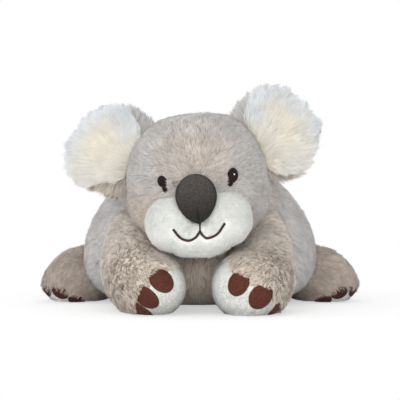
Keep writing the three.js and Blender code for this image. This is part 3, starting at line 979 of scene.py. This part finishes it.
# Ears.
def add_ear(side):
    tilt = math.radians(EAR_TILT_DEG)
    outward = head_way((side * math.cos(tilt), 0, math.sin(tilt)))
    backward = head_way((0, 1, 0))
    along = head_way((-side * math.sin(tilt), 0, math.cos(tilt)))
    axes = np.stack([outward, backward, along])
    seam = in_head((side * EAR_SEAM[0], *EAR_SEAM[1:]))
    form = (egg(SPHERE, **EAR, curves=EAR_CURVES) + (EAR_OUT, 0, -EAR_DOWN)) @ axes + seam
    faces = SPHERE_FACES if np.linalg.det(axes) > 0 else SPHERE_FACES[:, ::-1]
    skin = Skin(form - point_normals(form, faces) * EAR_SKIN_INSET, faces)
    tips, edges = EAR_TIPS[side], LINING_EDGES[side]
    name = SIDE_NAMES[side]
    body = f"ear_{name}"
    plush_skin(f"ear_back_{name}", skin, body, 0.5)

    def local_of(points):
        return (points - seam) @ axes.T

    def reach_of(points, table):
        """How far points lie from the ear's middle, and the table's reach that way."""
        u, _, v = local_of(points).T
        turn = np.arctan2(v + EAR_DOWN, u - EAR_OUT)
        turns = np.arange(len(table)) * 2 * math.pi / len(table)
        reach = np.hypot(u - EAR_OUT, v + EAR_DOWN)
        return reach, np.interp(turn, turns, table, period=2 * math.pi)

    def rim_share(at, table):
        reach, edge = reach_of(at.roots, table)
        return reach / edge

    def trimmer(table, least_more, most_more):
        """Trims tips to a table's reach and a little more, in uneven tufts."""
        def trim(roots, ends):
            inner, _ = reach_of(roots, table)
            outer, edge = reach_of(ends, table)
            limit = edge + least_more + (most_more - least_more) * RNG.random(len(ends)) ** 2
            least = np.where(inner < edge - 1.5, 0.3, 0.16)
            left = np.maximum((limit - inner) / np.maximum(outer - inner, 0.1), least)
            return left ** (outer > limit)
        return trim

    # The back's tips are tucked in where the lining covers the rim.
    back_tips = [tip - (3 if edge > tip - RIM_BAND else 0) for tip, edge in zip(tips, edges)]

    def back_keep(at):
        """All behind the seam, and before it what the lining leaves free."""
        reach, edge = reach_of(at.roots, edges)
        _, tip = reach_of(at.roots, tips)
        return (local_of(at.roots)[:, 1] > 0) | ((reach > edge - 3) & (edge < tip - RIM_BAND))

    def back_flow(at):
        u, w, v = local_of(at.roots).T
        return np.stack([u, w * 0, v + EAR_DOWN], 1) @ axes

    def back_lift(at):
        """Steeper at the rim."""
        return 26 * ease(0.72, 0.88, rim_share(at, tips))

    def back_zone(at):
        return 0.8 * ease(-6, -30, local_of(at.roots)[:, 2] + EAR_DOWN)

    pile(f"ear_back_{name}_pile", skin, back_flow, GREY_PILE, body, "grey_plush", **EAR_FUR,
         keep=back_keep, zone=back_zone, lift_of=back_lift, trim=trimmer(back_tips, -2, 3))

    points = form - point_normals(form, faces) * SKIN_INSET
    reach, edge = reach_of(points, edges)
    _, tip = reach_of(points, tips)
    lined = (reach < edge - LINING_MARGIN) | (edge > tip - RIM_BAND)
    lined &= local_of(points)[:, 1] < LINING_FRONT
    chosen = faces[lined[faces].all(1)]

    def lining_flow(at):
        return unit(local_of(at.roots) - WHORL) @ axes

    def lining_zone(at):
        """Bluer towards the outer rim and the top, and at the lower end."""
        u, _, v = local_of(at.roots).T
        reach, edge = reach_of(at.roots, edges)
        facing = ((u - EAR_OUT) * 0.8 + (v + EAR_DOWN) * 0.6) / np.maximum(reach, 1)
        shade = ease(0.5, 0.98, (reach + 12) / edge + RNG.normal(0, 0.06, len(reach)))
        low_end = 0.4 * ease(-10, -32, v + EAR_DOWN)
        return np.maximum(shade * (0.15 + 0.85 * ease(-0.7, 0.4, facing)), low_end)

    def lining_clump(at):
        return 0.42 + 0.32 * ease(0.6, 0.85, rim_share(at, edges))

    def lining_lean(at):
        """Evenly lit from the front, and rounder at the rim, lit from behind too."""
        size = 1 - 0.5 * ease(0.55, 0.8, rim_share(at, edges))
        return unit(at.normals - backward * 0.8) * size[:, None]

    node = f"ear_lining_{name}"
    dress(panel(f"{node}_skin", points, chosen), CREAM_SKIN, body, "cream_pile", node)
    pile(f"{node}_pile", Skin(points, chosen), lining_flow, CREAM_PILE, body, "cream_pile",
         **LINING_FUR, zone=lining_zone, clump_of=lining_clump, lean_of=lining_lean,
         trim=trimmer(edges, -2.5, 5))


add_ear(LEFT)
add_ear(RIGHT)


# Limbs, their soles and their claws.
def claw_ovals(middle, palm, directions, half_sizes):
    """Each claw's oval: its rays' origin, its two ways, the rays' way and its half sizes."""
    ovals = []
    for direction in directions:
        facing = unit(direction)
        across = unit(np.cross(facing, palm))
        along = unit(np.cross(across, facing))
        ovals.append((middle, across, along, facing, *half_sizes))
    return ovals


def add_limb(name, sole_node, form, share, palm, sole_at, flow, claws, material, thread, fur,
             zone, stray_of=lambda at: 1, sole_rise=lambda points: 0, lift_of=lambda at: 0,
             claw_trim=0.0, claw_lift=0.0):
    """A limb's skin and pile, and its sole and claws.

    The sole lies beyond a plane across the palm, which sole_rise moves in places. Beside the claws
    the pile is shorter by the share claw_trim and steeper by claw_lift degrees.
    """
    faces = SPHERE_FACES
    if (point_normals(form, faces) * (form - form.mean(0))).sum() < 0:
        faces = faces[:, ::-1]
    skin = Skin(inset(form, faces), faces, share)
    plush_skin(name, skin, name, 0.75)

    def beyond(points, margin=0.0):
        return (points - sole_at) @ palm + sole_rise(points) > margin

    def off_claws(at):
        """How far roots lie from the nearest claw, in its reaches."""
        none_near = 9.0
        nearest = np.full(len(at.roots), none_near)
        for middle, across, along, facing, half_width, half_length in claws:
            away = at.roots - middle
            reach = np.hypot(away @ across / half_width, away @ along / half_length)
            nearest = np.minimum(nearest, np.where(away @ facing > 0, reach, none_near))
        return nearest

    def limb_keep(at):
        return ~beyond(at.roots, -1) & ((off_claws(at) > 0.96) | ~beyond(at.roots, -6))

    def limb_length(at):
        trimmed = 1 - claw_trim * ease(1.7, 0.95, off_claws(at))
        return np.where(beyond(at.roots, -7), trimmed, 0.95)

    def limb_stray(at):
        return stray_of(at) * ease(0.2, 1.8, off_claws(at))

    def limb_lift(at):
        return lift_of(at) + claw_lift * ease(1.5, 1.0, off_claws(at))

    pile(f"{name}_pile", skin, flow, material, name, "grey_plush", **fur, zone=zone,
         keep=limb_keep, length_of=limb_length, stray_of=limb_stray, lift_of=limb_lift)
    points = inset(form, faces, SOLE_INSET)
    chosen = faces[beyond(points)[faces].all(1)]
    dress(panel(f"{sole_node}_skin", points, chosen), WHITE_SKIN, name, "white_pile", sole_node)
    # The lower sole takes the pile's second, greyer colouring: painted shade where the sole faces
    # down.
    pile(f"{sole_node}_pile", Skin(points, chosen, share), flow, SOLE_PILE, name, "white_pile",
         **SOLE_FUR, keep=lambda at: (at.roots[:, 2] > 1.5) & (off_claws(at) > 0.9),
         zone=lambda at: 1 - 0.8 * ease(14, 40, at.roots[:, 2]))
    tree = tree_of(form, faces)
    for label, oval in zip(CLAW_NAMES, claws):
        claw_node = f"{sole_node.replace('sole', 'claw')}_{label}"
        satin(f"{claw_node}_stitches", tree, *oval, thread, name, "claw_satin", claw_node,
              **CLAW_STITCH)


def wool(share):
    """How curly an arm's pile is: most so over the bend."""
    return np.exp(-((share - 0.52) / 0.18) ** 2)


def add_arm(side):
    paw = PAWS[side]
    name = SIDE_NAMES[side]
    spine = ((side * SHOULDER[0], *SHOULDER[1:]), (side * paw["elbow_x"], ELBOW_Y, ELBOW_Z),
             (side * paw["tip_x"], PAW_TIP_Y, PAW_TIP_Z))
    palm = unit(paw["palm"])
    middle = quadratic(spine, [PAW_MIDDLE_SHARE])[0][0]

    def flow(at):
        """Outward over the upper arm, then along the paw and towards its sole."""
        _, tangent, _, _ = spine_axes(spine, at.share.clip(0, 1))
        outward = np.array((side, 0, -0.15))
        near_sole = ease(-26, -6, (at.roots - middle) @ palm - PAW_SOLE_OUT)[:, None]
        toward = tangent * (1 - 0.6 * near_sole) + palm * (0.3 + 0.9 * near_sole)
        blend = ease(0.35, 0.75, at.share)[:, None]
        return outward * (1 - blend) + toward * blend

    def sole_rise(points):
        """The white reaches higher on the paw's inner side."""
        x, y, z = points.T
        inner = ease(9, 23, side * (middle[0] - x))
        return 24 * ease(20, 44, z) * inner * ease(22, 10, y - middle[1])

    form, share = limb(
        spine, paw["half_width"], paw["half_height"], paw["swells"], ARM_FULLNESS, ARM_CREST)
    add_limb(
        f"arm_{name}", f"paw_sole_{name}", form, share, palm, middle + palm * PAW_SOLE_OUT, flow,
        claw_ovals(middle, palm, paw["claws"], PAW_CLAW), ARM_PILE, CLAW_THREAD,
        {**ARM_FUR, "seed": ARM_SEED + side},
        zone=lambda at: 0.45 + 0.55 * ease(0.3, 0.6, at.share),
        stray_of=lambda at: 1 + 1.8 * wool(at.share), sole_rise=sole_rise,
        lift_of=lambda at: 22 * wool(at.share), claw_trim=0.6, claw_lift=24,
    )


def add_leg(side):
    name = SIDE_NAMES[side]
    spine = tuple((side * p[0], *p[1:]) for p in (HIP, KNEE, TOE))
    palm = unit((side * FOOT_PALM[0], *FOOT_PALM[1:]))
    middle = quadratic(spine, [FOOT_MIDDLE_SHARE])[0][0]
    directions = [(side * x, y, z) for x, y, z in FOOT_CLAWS]

    def flow(at):
        _, tangent, _, _ = spine_axes(spine, at.share.clip(0, 1))
        return tangent + (side * 0.4, 0, -0.5)

    form, share = limb(
        spine, FOOT_HALF_WIDTH, FOOT_HALF_HEIGHT, LEG_SWELLS, LEG_FULLNESS, LEG_CREST)
    add_limb(
        f"leg_{name}", f"foot_sole_{name}", form, share, palm,
        np.array([middle[0], middle[1], FOOT_SOLE_HEIGHT]), flow,
        claw_ovals(middle, palm, directions, FOOT_CLAW), LEG_PILE, FOOT_CLAW_THREAD,
        {**LEG_FUR, "seed": LEG_SEED + side},
        zone=lambda at: ease(30, 5, at.roots[:, 2]), claw_lift=-6,
    )


for side in (LEFT, RIGHT):
    add_arm(side)
    add_leg(side)


# Eyes.
def add_eye(side):
    lean = math.radians(EYE_LEAN_DEG)
    up = head_way((side * math.sin(lean), 0, math.cos(lean)))
    face = head_way((0, -1, 0))
    across = unit(np.cross(face, up))
    over = unit(np.cross(across, face))
    start = in_head((EYE_MIDDLE[0] + side * EYE_SPREAD, 0, EYE_MIDDLE[1]))
    name = f"eye_{SIDE_NAMES[side]}"
    for label, (outward, raised, *sizes) in zip(("", "_tail"), EYE_OVALS[side]):
        replaced = [] if label else [name]
        satin(f"{name}{label}_stitches", head_tree, start + np.array([side * outward, 0, raised]),
              across, over, face, *sizes, EYE_THREAD, "head", "eye_satin", *replaced, **EYE_STITCH)
    if side == LEFT:
        glint = start + head_way((1, 0, 0)) * GLINT_PLACE[0] + up * GLINT_PLACE[1]
        satin(f"{name}_glint_stitches", head_tree, glint, across, over, face, *GLINT_SIZE,
              GLINT_THREAD, "head", "eye_satin", **GLINT_STITCH)


add_eye(LEFT)
add_eye(RIGHT)


# Mouth.
def thread_line(name, places, radius):
    """A stitched line, laid on the muzzle as it is seen from the front."""
    before_face = -400
    line = []
    for x, z in places.tolist():
        hit, normal, _, _ = muzzle_tree.ray_cast(Vector((x, before_face, z)), Vector((0, 1, 0)))
        line.append(np.array(hit) + np.array(normal) * MOUTH_LIFT)
    curve = bpy.data.curves.new(name, "CURVE")
    curve.dimensions = "3D"
    curve.bevel_depth = radius * MM
    curve.bevel_resolution = 3
    curve.use_fill_caps = True
    spline = curve.splines.new("POLY")
    spline.points.add(len(line) - 1)
    for point, place in zip(spline.points, line):
        point.co = (*(place * MM), 1)
    drawn = add_object(name, curve)
    baked = evaluated_mesh(drawn)
    bpy.data.objects.remove(drawn)
    dress(add_object(name, baked), MOUTH_THREAD, "head", "eye_satin")


for label, line in mouth_lines.items():
    thread_line(f"mouth_{label}_thread", line, MOUTH_RADII[label])


# The stage: a pale floor that keeps the toy's shadow near it and turns white further off.
def seen_rays(tree):
    """1 for rays that show the surroundings to the camera, mirrored or through a surface too."""
    path = tree.nodes.new("ShaderNodeLightPath")
    total = path.outputs["Is Camera Ray"]
    for other in ("Is Glossy Ray", "Is Transmission Ray"):
        either = tree.nodes.new("ShaderNodeMath")
        either.operation = "MAXIMUM"
        tree.links.new(total, either.inputs[0])
        tree.links.new(path.outputs[other], either.inputs[1])
        total = either.outputs[0]
    return total


def add_stage():
    nodes = Nodes("floor", roughness=0.9, specular=0.0)
    fill(nodes.shader, Base_Color=linear((250, 250, 250)))
    emission = fill(nodes.add("ShaderNodeEmission"), Strength=1.0)
    coordinates = nodes.add("ShaderNodeTexCoord")
    distance = nodes.add("ShaderNodeVectorMath", operation="LENGTH")
    nodes.link(coordinates.outputs["Object"], distance.inputs[0])
    far = nodes.spread(distance.outputs["Value"], *FLOOR_WHITE)
    product = nodes.add("ShaderNodeMath", operation="MULTIPLY")
    nodes.link(far, product.inputs[0])
    nodes.link(seen_rays(nodes.tree), product.inputs[1])
    mixer = nodes.add("ShaderNodeMixShader")
    for source, socket in zip((product, nodes.shader, emission), mixer.inputs):
        nodes.link(source.outputs[0], socket)
    nodes.link(mixer.outputs[0], nodes.tree.nodes["Material Output"].inputs["Surface"])
    corners = [(x * FLOOR_SPAN, y * FLOOR_SPAN, 0) for x, y in ((-1, -1), (1, -1), (1, 1), (-1, 1))]
    floor = mesh_object("floor", corners, [(0, 1, 2, 3)])
    floor.data.materials.append(nodes.material)


def add_light(name, place, size, watts):
    lamp = bpy.data.lights.new(name, "AREA")
    lamp.shape, lamp.size, lamp.energy = "DISK", size, watts
    made = add_object(name, lamp)
    made.location = place
    aim = Vector(LIGHTS_AIM) - Vector(place)
    made.rotation_euler = aim.to_track_quat("-Z", "Y").to_euler()


def add_world():
    world = bpy.data.worlds.new("studio")
    world.use_nodes = True
    bpy.context.scene.world = world
    tree = world.node_tree
    background = fill(tree.nodes["Background"], Color=(1, 1, 1, 1))
    strength = fill(tree.nodes.new("ShaderNodeMapRange"), To_Min=WORLD_STRENGTH, To_Max=1.0)
    tree.links.new(seen_rays(tree), strength.inputs["Value"])
    tree.links.new(strength.outputs["Result"], background.inputs["Strength"])


add_stage()
add_world()
for light in LIGHTS:
    add_light(*light)

bpy.context.scene.view_settings.view_transform = "Standard"
